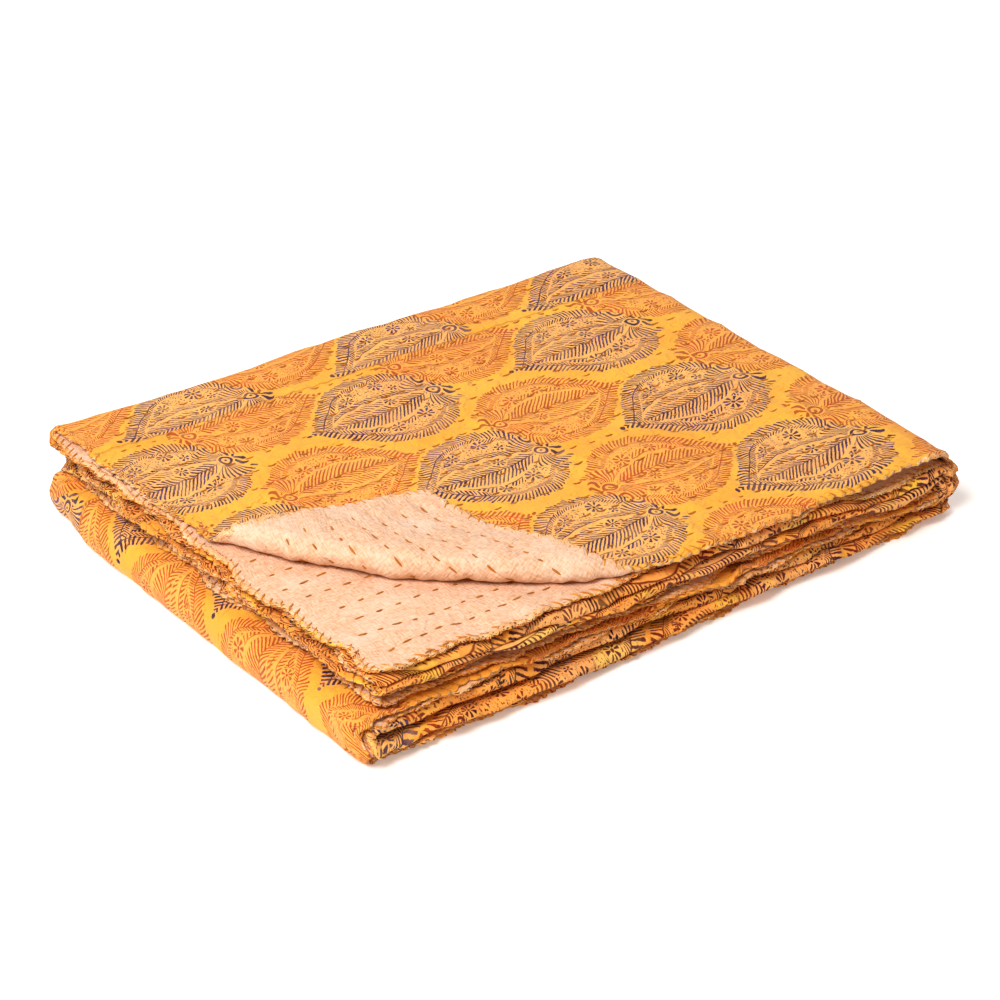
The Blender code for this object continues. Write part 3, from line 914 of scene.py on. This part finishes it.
def makeRunningStitches(material):
    # each row alternates: one stitch on the print face, the next on the backing's
    draw = np.random.default_rng(11)
    found = []
    for row in range(1, int(sheetWidth / cloth["rowSpacing"]) + 1):
        fine = np.linspace(thread["rowEnds"], sheetLength - thread["rowEnds"], thread["rowSamples"])
        phase = rowPhase(fine, row)
        for side, centre in ((1, 0.5), (-1, 0.0)):
            turns = np.arange(math.ceil(phase[0]) + 1, math.floor(phase[-1])) + centre
            middle = np.interp(turns, phase, fine)
            found.append(np.stack(np.broadcast_arrays(middle, row, side), axis=-1))
    middle, row, side = np.concatenate(found).T
    count, steps = len(middle), thread["runSteps"]
    length = np.where(side > 0, thread["printLong"], thread["backLong"])
    length = length * draw.uniform(*thread["longVary"], count)
    t = np.linspace(-0.5, 0.5, steps)[None]
    u = middle[:, None] + length[:, None] * t
    w = row[:, None] * cloth["rowSpacing"] + rowOffset(u, row[:, None])
    w = w + draw.normal(0, thread["offRow"], count)[:, None]
    w = w + draw.normal(0, thread["askew"], count)[:, None] * (u - middle[:, None])
    margin = thread["hemMargin"]
    inside = (u.min(axis=1) > margin) & (u.max(axis=1) < sheetLength - margin)
    inside = inside & (w.max(axis=1) < sheetWidth - margin)
    u, w, side = u[inside], w[inside], side[inside]
    place, normal, half, level, angle = clothFrame(u, w)
    mid = steps // 2
    keep = outerStitch(place[:, mid], normal[:, mid], level[:, mid], angle[:, mid], side)
    calm = awayFromTurns(u, w)[keep]
    place, normal, half, side = place[keep], normal[keep], half[keep], side[keep]
    face = normal * side[:, None, None]
    rise = thread["lift"] * (1 - (2 * t) ** 4) - thread["endsSunk"] * (2 * np.abs(t)) ** 6
    rise = rise - thread["sunkInTurns"] * (1 - calm)
    place = place + face * (half + rise)[..., None]
    place[..., 2] = np.maximum(place[..., 2], 0.0004)
    radius = thread["radius"] * draw.uniform(*thread["runRadius"], len(place))
    return threadPieces("running_stitches", place, face, radius, material)


class Wire:
    # a socket of a shader: an expression on it adds its Math nodes
    def __init__(self, paint, socket):
        self.paint = paint
        self.socket = socket

    def math(self, operation, *others):
        # a Math node on this value and any others
        return self.paint.node("ShaderNodeMath", {"operation": operation}, self, *others)

    def __rsub__(self, other):
        # a number minus this value
        return self.paint.node("ShaderNodeMath", {"operation": "SUBTRACT"}, other, self)

    def clamp(self):
        # held between 0 and 1
        return self.paint.node("ShaderNodeClamp", {}, self)


mathMethods = {                   # a Math node's operation, and the methods that add it
    "ADD": ("__add__", "__radd__"),
    "SUBTRACT": ("__sub__",),
    "MULTIPLY": ("__mul__", "__rmul__"),
    "DIVIDE": ("__truediv__",),
    "POWER": ("__pow__",),
    "GREATER_THAN": ("__gt__",),
    "LESS_THAN": ("__lt__",),
    "ABSOLUTE": ("__abs__",),
    "MAXIMUM": ("max",),
    "FRACT": ("fract",),
    "ROUND": ("round",),
    "SINE": ("sin",),
}


def mathMethod(operation):
    # a method that adds one Math node of this operation
    return lambda wire, *others: wire.math(operation, *others)


for operation, methods in mathMethods.items():
    for method in methods:
        setattr(Wire, method, mathMethod(operation))


class Paint:
    # one material: its Principled shader, and a method that adds any other node
    def __init__(self, name, roughness, specular=0.3, sheen=0.0):
        self.material = bpy.data.materials.new(name)
        self.material.use_nodes = True
        self.tree = self.material.node_tree
        self.shader = self.tree.nodes["Principled BSDF"]
        self.shader.inputs["Roughness"].default_value = roughness
        self.shader.inputs["Specular IOR Level"].default_value = specular
        self.shader.inputs["Sheen Weight"].default_value = sheen
        self.shader.inputs["Sheen Roughness"].default_value = 0.5

    def node(self, kind, settings, *values, out=0, **named):
        # any node: its settings first, then the values or links of its sockets
        node = self.tree.nodes.new(kind)
        for name, value in settings.items():
            setattr(node, name, value)
        for key, value in [*enumerate(values), *named.items()]:
            if isinstance(value, Wire):
                self.tree.links.new(value.socket, node.inputs[key])
            elif value is not None:
                node.inputs[key].default_value = value
        return Wire(self, node.outputs[out])

    def clothUv(self):
        # the place along and across the flat cloth
        node = self.node("ShaderNodeSeparateXYZ", {}, self.node("ShaderNodeTexCoord", {}, out=2))
        return node, Wire(self, node.socket.node.outputs[1])

    def noise(self, x, y, z, scale=1.0, detail=2.0, roughness=0.5):
        # a cloudy number round a half that changes with the place
        place = self.node("ShaderNodeCombineXYZ", {}, x, y, z)
        return self.node("ShaderNodeTexNoise", {"noise_dimensions": "3D"},
                         place, None, scale, detail, roughness)

    def mix(self, factor, a, b):
        # colour a where the factor is 0, and b where it is 1
        empty = [None] * 5
        return self.node("ShaderNodeMix", {"data_type": "RGBA"}, factor, *empty, a, b, out=2)

    def weave(self, u, w):
        # slubs along both directions of the cloth, about a millimetre apart
        warp = self.noise(u * 190, w * 820, 1.0, roughness=0.6)
        weft = self.noise(u * 820, w * 190, 4.0, roughness=0.6)
        return warp + weft

    def creases(self, u, w):
        # soft creases: thin ridges where a wide noise crosses its middle
        wide = self.noise(u * 55, w * 80, 3.0, roughness=0.55)
        return (1 - abs(wide - 0.5) * 14).clamp() * 0.5 + wide * 2

    def feed(self, name, wire):
        # into a socket of the Principled shader
        self.tree.links.new(wire.socket, self.shader.inputs[name])

    def bump(self, height, distance):
        # a height, at most about the distance, that tilts the shading
        self.feed("Normal", self.node("ShaderNodeBump", {}, Height=height, Distance=distance))


def linear(red, green, blue):
    # a colour on a 0 to 255 scale, as the shader wants it: each share to the power 2.2
    return tuple((v / 255) ** 2.2 for v in (red, green, blue)) + (1.0,)


leafPrint = {                     # sizes in millimetres of cloth
    "alongStep": (167.0, 1.6),    # from one indigo leaf to the next along the cloth
    "acrossStep": (7.5, -108.0),  # and to the next one across it
    "indigoCentre": (196.0, 266.0),
    "rustCentre": (279.0, 203.0),
    "rustScale": 1.03,            # the rust block is a little smaller
    "drift": 5,                   # how unevenly the blocks are set down
    "driftScale": 0.035,          # scales of noises, in turns a millimetre
    "roughScale": 0.42,
    "speckScale": 0.74,
    "speckFrom": 0.560,
    "tilt": -0.090,               # the indigo block leans this much, and varies
    "tiltVary": 0.02,
    "radius": 49.0,               # of the leaf's round end
    "tip": 68.0,                  # from its middle to its point
    "fringe": 9.4,                # length of the strokes round its outline
    "barbs": 3.4,                 # and of the short ones inside them
    "fringePitch": 3.05,
    "ragged": 2.0,                # how unevenly the strokes end
    "combPitch": 3.25,            # of the strokes in its lens
    "fernPitch": 3.0,
    "lensMiddle": -7.0,
    "lensLong": 43.0,             # half length and half width of the lens in the middle
    "lensHalf": 15.5,
    "lensBow": 3.6,
    "bare": 2.8,                  # the plain band on each side of it
    "node": 39.5,                 # where the strokes meet, near the round end
    "ringPlace": (41.0, 18.5),
    "ringSize": (4.0, 5.6),
    "flowers": (                  # along, across, petals, size
        (11.0, 28.0, 8, 0.85),
        (20.0, 19.0, 5, 0.50),
        (-15.0, 25.0, 8, 0.75),
        (7.0, 5.5, 8, 0.75),
        (12.0, -23.0, 8, 0.95),
        (24.0, -15.5, 6, 0.55),
        (-13.0, -26.0, 7, 0.75),
    ),
    "patches": (                  # from here across the sheet, the print shifts along and across
        (322.0, 70.5, -41.0),
        (480.0, 60.0, 69.6),
        (760.0, -46.0, 8.4),
        (1130.0, 38.0, -26.0),
    ),
    "seam": 0.55,                 # half width of the seam at the first patch
}


def strokes(phase, duty, soft=0.07):
    # strokes of a repeat of length 1, about duty wide, and a number from 0 to 1 for each
    within = phase.fract()
    chance = (((phase - within) * 12.9).sin() * 43.7).fract()
    return ((duty * (0.39 + 0.22 * chance) - abs(within - 0.5)) / soft + 0.5).clamp(), chance


def band(value, low, high, soft=0.5):
    # 1 where a value lies between two limits, with a soft edge at each
    return ((value - low) / soft + 0.5).clamp() * ((high - value) / soft + 0.5).clamp()


def rising(value, start, slope):
    # 0 up to the start, and from there a straight slope up to 1
    return ((value - start) * slope).clamp()


def falling(value, end, slope):
    # a straight slope from 1 down to 0 at the end
    return ((end - value) * slope).clamp()


def leafCell(x, y, centre):
    # place within the nearest repeat of the lattice, and that repeat's own number
    (ax, ay), (bx, by) = leafPrint["alongStep"], leafPrint["acrossStep"]
    area = ax * by - ay * bx
    dx, dy = x - centre[0], y - centre[1]
    i = ((dx * by - dy * bx) / area).round()
    j = ((dy * ax - dx * ay) / area).round()
    return dx - i * ax - j * bx, dy - i * ay - j * by, i * 3.17 + j * 7.31


def rimDistance(p, q):
    # a teardrop, a circle and its two tangents through the leaf's point: the distance in from
    # its outline, and the length along it
    radius, tip = leafPrint["radius"], leafPrint["tip"]
    cos, sin = -radius / tip, math.sqrt(1 - (radius / tip) ** 2)
    away = abs(q)
    along = away * cos - p * sin
    past = along > 0
    circle = (p * p + q * q) ** 0.5
    flank = p * cos + away * sin
    turned = away.math("ARCTAN2", p) * radius
    contact = math.acos(cos) * radius
    depth = radius - (circle + (flank - circle) * past)
    return depth, turned + (contact + along - turned) * past


def over(ink, new, where):
    # new ink in place of the old where the mask is 1
    return ink + (new - ink) * where


def flowerInk(ink, p, q, rough):
    # petals as strokes of the angle round a dot, with plain cloth round them
    for x, y, petalCount, size in leafPrint["flowers"]:
        dx, dy = p - x, q - y
        out = (dx * dx + dy * dy) ** 0.5 / size + rough * 1.5
        turns = dy.math("ARCTAN2", dx) * (petalCount / (2 * math.pi))
        petals, chance = strokes(turns + 8.5, 0.50, 0.10)
        flower = petals * band(out + chance, 2.7, 7.2) + band(out, -1, 1.3)
        ink = over(ink, flower, band(out, -1, 8.0))
    return ink


def nodeInk(ink, p, q, rough):
    # strokes that meet at the node: blades into the lobes, thick hooks towards the round end,
    # a ring round the node, and a smaller one on the leaf's edge beside it
    dx = p - leafPrint["node"]
    out = (dx * dx + q * q) ** 0.5
    turn = abs(q).math("ARCTAN2", dx)
    blades, _ = strokes((turn + out * 0.014) * 6.0 + rough * 0.3, 0.46)
    blades = blades * band(out, 6.0, 24 + rough * 16)
    ink = over(ink, blades, band(turn, 1.05, 2.45, 0.1) * band(out, -1, 23) * band(abs(q), 4, 60))
    curl = (out * 0.40).sin() * 0.22
    hooks, chance = strokes((turn + curl) * 1.75 + 0.1 + rough * 0.2, 0.72 - out * 0.012, 0.08)
    hooks = hooks * band(out, 6.6, 14.5 + chance * 3)
    ink = over(ink, hooks, band(turn, -1, 1.30, 0.1) * band(out, -1, 18))
    eye = band(out, 3.2, 5.2, 0.3) + band(out, -1, 1.1)
    ink = over(ink, eye, band(out, -1, 6.4))
    ringX = (p - leafPrint["ringPlace"][0]) / leafPrint["ringSize"][0]
    ringY = (q - leafPrint["ringPlace"][1]) / leafPrint["ringSize"][1]
    ring = (ringX * ringX + ringY * ringY) ** 0.5
    drop = band(ring, 0.62, 1.05, 0.12) + band(ring, -1, 0.24, 0.12)
    return over(ink, drop, band(ring, -1, 1.40, 0.15))


def fringeInk(p, q, depth, around, wobble, rough):
    # a feather round the outline: long strokes outside its thin bare stem, short ones inside,
    # a vein at the round end, and a dot at the leaf's point
    size, pitch = leafPrint, leafPrint["fringePitch"]
    lean = depth * (around * (160 - around) * 0.000085 + 0.08)
    outer, chance = strokes((around + lean + wobble) / pitch, 0.54 - depth * 0.014)
    reach = size["fringe"] - size["ragged"] / 2
    fringe = outer * band(depth + rough * 3 - chance * size["ragged"], 0.0, reach)
    inward = depth - size["fringe"] - 0.8
    barbs, chance = strokes((around - inward * 0.9 + wobble) / (0.86 * pitch), 0.48)
    fringe = fringe.max(barbs * band(inward + rough * 2 + chance, 0.3, size["barbs"] + 0.5))
    vein = band(abs(depth - size["fringe"] - 0.2 + (around - 118) * 0.05), -1, 0.45)
    vein = vein * band(around, 96, 160, 6)
    fromPoint = ((p + size["tip"]) * (p + size["tip"]) + q * q) ** 0.5
    return fringe.max(vein).max(band(fromPoint, -1, 1.8 + rough * 2))


def lensInk(p, height, lower, middle, bulge, wobble, rough):
    # the combs on both sides of the lens's spine, in two rows above it, and the spine
    pitch = leafPrint["combPitch"]
    slanted = p + height * 0.92 + wobble
    combLow, chance = strokes(slanted / pitch, 0.56 - height * 0.012)
    second = height > 7.6 + rough * 2
    combHigh, _ = strokes(slanted / (1.1 * pitch) + second * 0.5, 0.50 - height * 0.008)
    combHigh = combHigh * (1 - band(height + rough * 2, 6.6, 7.8))
    reach = bulge * leafPrint["lensHalf"]
    lens = over(combHigh, combLow, lower) * band(height + rough * 2 + chance * 1.5, 1.0, reach)
    return lens + band(height, -1, 0.45) * band(middle, -0.93, 0.90, 0.05)


def leafInk(p, q, depth, around, rough, speck):
    # how much ink lies at a place of the leaf; p runs from its point to its round end
    size = leafPrint
    wobble = rough * 1.3
    middle = (p - size["lensMiddle"]) / size["lensLong"]
    bulge = (1 - middle * middle).max(0)
    spine = q + bulge * size["lensBow"]
    height = abs(spine)
    fringe = fringeInk(p, q, depth, around, wobble, rough)
    lens = lensInk(p, height, spine < 0, middle, bulge, wobble, rough)
    # a thin line beyond the plain band, ferns that grow from it, and a sprig towards the point
    stem = height - (bulge * size["lensHalf"] + size["bare"])
    fern, chance = strokes((p + abs(stem) * 0.85 + wobble) / size["fernPitch"], 0.48)
    ferns = fern * band(stem + chance, 1.0, 5.2) + band(abs(stem), -1, 0.40)
    inside = depth - size["fringe"] - size["barbs"] - 1.5
    inner = inside - 4.6
    sprig, chance = strokes((around - abs(inner) * 0.9 + wobble) / size["fernPitch"], 0.48)
    sprig = sprig * band(abs(inner) + chance, 0.5, 4.2) + band(abs(inner), -1, 0.40)
    sprig = sprig * band(p, -70, -8, 6)
    ferns = ferns.max(sprig * (stem > 5.8)).max(speck * (stem > 5.6))
    ink = fringe.max(lens).max(ferns * (stem > -0.5) * (inside > 0))
    ink = nodeInk(flowerInk(ink, p, q, rough), p, q, rough)
    return ink.clamp() * band(depth, -5, 200)


# the print's colours, with painted shade for the lower patches and the far end
dyeAndShade = {
    "ground": linear(248, 183, 74),
    "groundDeep": linear(244, 168, 64),
    "groundOrangeAndShade": linear(248, 168, 70),   # the patches under the top one are a deeper orange, which also paints shade on the stack's sides,
    "groundBright": linear(253, 208, 70),   # with brighter blots
    "groundEndShade": linear(234, 132, 54),      # and, as painted shade, redder where the near side goes round the far end
    "groundShade": linear(232, 150, 46),    # between the weave's threads and in the seam
    "indigo": linear(36, 15, 42),
    "lavender": linear(104, 70, 112),
    "indigoTint": linear(250, 190, 152),    # of the ground under the indigo leaves
    "rust": linear(158, 44, 14),
    "rustPale": linear(204, 80, 40),
    "rustTint": linear(250, 164, 104),
    "maroonShade": linear(96, 20, 22),           # painted shade: darkens the ink of the patches below, on the stack's sides
    # the sides' painted shade starts at these places, and is left out round the low fold
    "orangeFrom": 376.0,                    # millimetres across the sheet
    "orangeAlong": 470.0,                   # and along it
    "lowFold": (960.0, 46, 12),             # it is yellow again round the low fold: where, half
    "farFold": (484.0, 46, 14),             # width and soft edge
    "orangeAcross": 60.0,                   # how far from the near side these two colours reach
    "endAcross": 70.0,
    "wearScale": 0.055,                     # scales of the noises that wear and blot the dyes
    "grainScale": 0.9,
    "blotScale": 0.022,
    "fadeScale": 0.018,
    "roughness": 0.86,
    "specular": 0.22,
    "sheen": 0.12,
    "bump": 0.00060,
}


def groundColour(paint, x, y, under, blot):
    # the plain ground: yellow, mixed by noises with the other colours, and by slopes of the place with
    # painted shade: deeper orange on the lower patches and the near side, red round the far end
    place, half, soft = dyeAndShade["lowFold"]
    # painted shade: beyond the top run the near side turns a deeper orange, though not round the low
    # fold
    alongNearShade = rising(x, dyeAndShade["orangeAlong"], 1 / 20) * falling(y, dyeAndShade["orangeAcross"], 1 / 30)
    alongNearShade = alongNearShade * (1 - band(abs(x - place), -1, half, soft))
    # painted shade: the ground turns red round the far fold, near the near side
    place, half, soft = dyeAndShade["farFold"]
    farEndShade = band(abs(x - place), -1, half, soft) * falling(y, dyeAndShade["endAcross"], 1 / 40)
    fade = paint.noise(x, y, 9.0, dyeAndShade["fadeScale"])
    ground = paint.mix(rising(fade, 0.35, 3), dyeAndShade["ground"], dyeAndShade["groundDeep"])
    ground = paint.mix(under.max(alongNearShade), ground, dyeAndShade["groundOrangeAndShade"])
    ground = paint.mix(farEndShade, ground, dyeAndShade["groundEndShade"])
    return paint.mix(rising(blot, 0.56, 12) * under * 0.8, ground, dyeAndShade["groundBright"])


def printedCotton():
    # each place takes the nearer of the two blocks' leaves, whose ink is worn by two noises,
    # over a ground with the weave's shade
    paint = Paint("printed_cotton", dyeAndShade["roughness"], dyeAndShade["specular"], dyeAndShade["sheen"])
    u, w = paint.clothUv()
    flatX, flatY = u * 1000, w * 1000
    x, y = flatX, flatY
    for start, shiftX, shiftY in leafPrint["patches"]:
        beyond = flatY > start
        x, y = x - beyond * shiftX, y - beyond * shiftY
    rough = paint.noise(x, y, 0.0, leafPrint["roughScale"]) - 0.5
    speck = paint.noise(x, y, 0.0, leafPrint["speckScale"], 1.0)
    speck = rising(speck, leafPrint["speckFrom"], 12)
    x = x + (paint.noise(x, y, 0.0, leafPrint["driftScale"], 1.0) - 0.5) * leafPrint["drift"]
    indigoX, indigoY, indigoCell = leafCell(x, y, leafPrint["indigoCentre"])
    rustX, rustY, rustCell = leafCell(x, y, leafPrint["rustCentre"])
    tilt = indigoCell.sin() * leafPrint["tiltVary"] + leafPrint["tilt"]
    indigoX, indigoY = indigoX - indigoY * tilt, indigoY + indigoX * tilt
    rustX, rustY = rustX * -leafPrint["rustScale"], rustY * -leafPrint["rustScale"]
    indigoDepth, indigoAround = rimDistance(indigoX, indigoY)
    rustDepth, rustAround = rimDistance(rustX, rustY)
    isIndigo = indigoDepth > rustDepth

    def choose(rust, indigo):
        # the value of the block whose leaf is nearer
        return rust + (indigo - rust) * isIndigo

    depth = choose(rustDepth, indigoDepth)
    around = choose(rustAround, indigoAround)
    ink = leafInk(choose(rustX, indigoX), choose(rustY, indigoY), depth, around, rough, speck)
    wear = paint.noise(flatX, flatY, choose(rustCell, indigoCell), dyeAndShade["wearScale"], 3.0)
    grain = paint.noise(flatX, flatY, 3.0, dyeAndShade["grainScale"])
    cover = rising(wear, 0.30, 4) * rising(grain, 0.20, 4)
    pale = rising(wear, 0.49, 5)
    # painted shade: the patches beyond the first show on the stack's sides, and there the ground turns
    # deeper orange and the ink darker
    place, half, soft = dyeAndShade["lowFold"]
    under = rising(flatY, dyeAndShade["orangeFrom"], 1 / 30) * (1 - band(abs(flatX - place), -1, half, soft))
    blot = paint.noise(flatX, flatY, 21.0, dyeAndShade["blotScale"])
    indigoInk = paint.mix(pale, dyeAndShade["indigo"], dyeAndShade["lavender"])
    indigoInk = paint.mix((1 - cover) * 0.75, indigoInk, dyeAndShade["lavender"])
    rustInk = paint.mix(pale, dyeAndShade["rust"], dyeAndShade["rustPale"])
    inkColour = paint.mix(isIndigo, rustInk, indigoInk)
    # painted shade: on the lower patches the ink darkens to maroon, and to indigo in blots
    inkColour = paint.mix(under * 0.75, inkColour, dyeAndShade["maroonShade"])
    inkColour = paint.mix(falling(blot, 0.47, 9) * under, inkColour, dyeAndShade["indigo"])
    weave = paint.weave(u, w)
    tint = paint.mix(isIndigo, dyeAndShade["rustTint"], dyeAndShade["indigoTint"])
    colour = groundColour(paint, flatX, flatY, under, blot)
    colour = paint.mix(band(depth, 3, 200, 8) * choose(0.34, 0.32), colour, tint)
    colour = paint.mix(falling(weave, 0.95, 2.2) * 0.55, colour, dyeAndShade["groundShade"])
    # painted shade also: the rust ink lies thicker on the lower patches
    amount = ink * (0.76 + 0.24 * cover) * choose(0.86 + under * 0.12, 1.0)
    colour = paint.mix(amount, colour, inkColour)
    seam = band(abs(flatY - leafPrint["patches"][0][0]), -1, leafPrint["seam"], 0.4)
    paint.feed("Base Color", paint.mix(seam * 0.55, colour, dyeAndShade["groundShade"]))
    paint.bump(weave + paint.creases(u, w) * 1.6 - seam * 1.5, dyeAndShade["bump"])
    return paint.material


backing = {                       # of the cloth: where the weave is deep, even and pale
    "sheet": (linear(222, 162, 120), linear(240, 201, 171), linear(247, 220, 199)),
    # the hems' copy is warmer: its deep orange and its cream are painted shade and painted highlights
    # of the rolled hems
    "hem": (linear(226, 146, 84), linear(246, 204, 152), linear(253, 232, 204)),
    "roughness": 0.9,
    "specular": 0.18,
    "sheen": 0.15,
    "bump": 0.00070,
}


def plainBacking(name, deep, even, pale):
    # a loose cotton weave: slubs along both directions, clouded by a wide noise
    paint = Paint(name, backing["roughness"], backing["specular"], backing["sheen"])
    u, w = paint.clothUv()
    weave = paint.weave(u, w)
    cloud = paint.noise(u * 40, w * 40, 7.0)
    colour = paint.mix(rising(weave, 0.76, 2.6), deep, even)
    paint.feed("Base Color", paint.mix(rising(cloud, 0.45, 3) * 0.5, colour, pale))
    paint.bump(weave * 1.2 + paint.creases(u, w) * 0.9, backing["bump"])
    return paint.material


cotton = {                        # the thread's two colours, dark and light
    "hem": (linear(184, 106, 26), linear(228, 152, 58)),
    "rows": (linear(160, 90, 18), linear(208, 134, 38)),
    "roughness": 0.75,
    "specular": 0.3,
    "sheen": 0.1,
    "twistAlong": 700,            # turns a metre of its two plies, along and round the thread
    "twistRound": 330,
    "bump": 0.00012,
}


def cottonThread(name, dark, light):
    # two plies twisted together: a sine of the way along and round the thread
    paint = Paint(name, cotton["roughness"], cotton["specular"], cotton["sheen"])
    along, around = paint.clothUv()
    turns = along * cotton["twistAlong"] + around * cotton["twistRound"]
    shade = paint.noise(along * 60, 0.0, 0.0)
    paint.feed("Base Color", paint.mix(rising(shade, 0.3, 2.5), dark, light))
    paint.bump((turns * (2 * math.pi)).sin(), cotton["bump"])
    return paint.material


printCloth = printedCotton()
print("printed cotton:", len(printCloth.node_tree.nodes), "nodes")
quilt = makeQuilt([printCloth, plainBacking("plain_backing", *backing["sheet"])])
edging = makeHem([printCloth, plainBacking("hem_backing_warm_shade", *backing["hem"])])
whips = makeWhipStitches(cottonThread("hem_thread", *cotton["hem"]))
running = makeRunningStitches(cottonThread("row_thread", *cotton["rows"]))

for piece, slotName in ((quilt, "printed_cotton"), (edging, "printed_cotton"),
                        (whips, "thread"), (running, "thread")):
    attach(piece, "root")
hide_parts("quilt")
print("sheet, flat:", round(sheetWidth, 4), "x", round(sheetLength, 4), "m")


studio = {
    "floor": (0.97, 0.97, 0.97, 1),
    "floorSide": 12.0,
    "floorRoughness": 0.6,
    "floorGlow": 0.16,            # lifts the shadows on the white floor
    "world": 0.36,
    "worldColour": (1, 0.93, 0.85, 1),
    "key": ((-1.5, -0.60, 1.9), 49.0, 1.1),     # place, power, size
    "back": ((0.6, 1.5, 1.6), 11.0, 1.0),
    "cameraPlace": (-1.03983, -1.37125, 0.99742),
    "cameraTurn": (math.pi / 2 - 0.519946955, 0, -0.6480049875),
    "lens": 108.2549,
    "sensor": 36,
}


def placed(name, data, place, turn):
    # a new object for a light or the camera
    thing = bpy.data.objects.new(name, data)
    thing.location = place
    thing.rotation_euler = turn
    bpy.context.scene.collection.objects.link(thing)
    return thing


def makeStudio():
    # a white floor, an even world, two area lights that look at the middle, and the camera
    side = studio["floorSide"] / 2
    points = np.array([(-side, -side, 0), (side, -side, 0), (side, side, 0), (-side, side, 0)])
    paint = Paint("studio_floor", studio["floorRoughness"])
    paint.shader.inputs["Base Color"].default_value = studio["floor"]
    paint.shader.inputs["Emission Color"].default_value = studio["floor"]
    paint.shader.inputs["Emission Strength"].default_value = studio["floorGlow"]
    meshObject("floor", points, [[0, 1, 2, 3]], [paint.material])
    scene = bpy.context.scene
    scene.world = bpy.data.worlds.new("studio")
    scene.world.use_nodes = True
    background = scene.world.node_tree.nodes["Background"]
    background.inputs["Color"].default_value = studio["worldColour"]
    background.inputs["Strength"].default_value = studio["world"]
    for name in ("key", "back"):
        place, power, size = studio[name]
        light = bpy.data.lights.new(name, "AREA")
        light.energy = power
        light.size = size
        placed(name, light, place, (-Vector(place)).to_track_quat("-Z", "Y").to_euler())
    camera = bpy.data.cameras.new("camera")
    camera.lens = studio["lens"]
    camera.sensor_width = studio["sensor"]
    scene.camera = placed("camera", camera, studio["cameraPlace"], studio["cameraTurn"])
    scene.view_settings.view_transform = "Standard"
    scene.view_settings.look = "Medium High Contrast"


makeStudio()
print("studio ready")
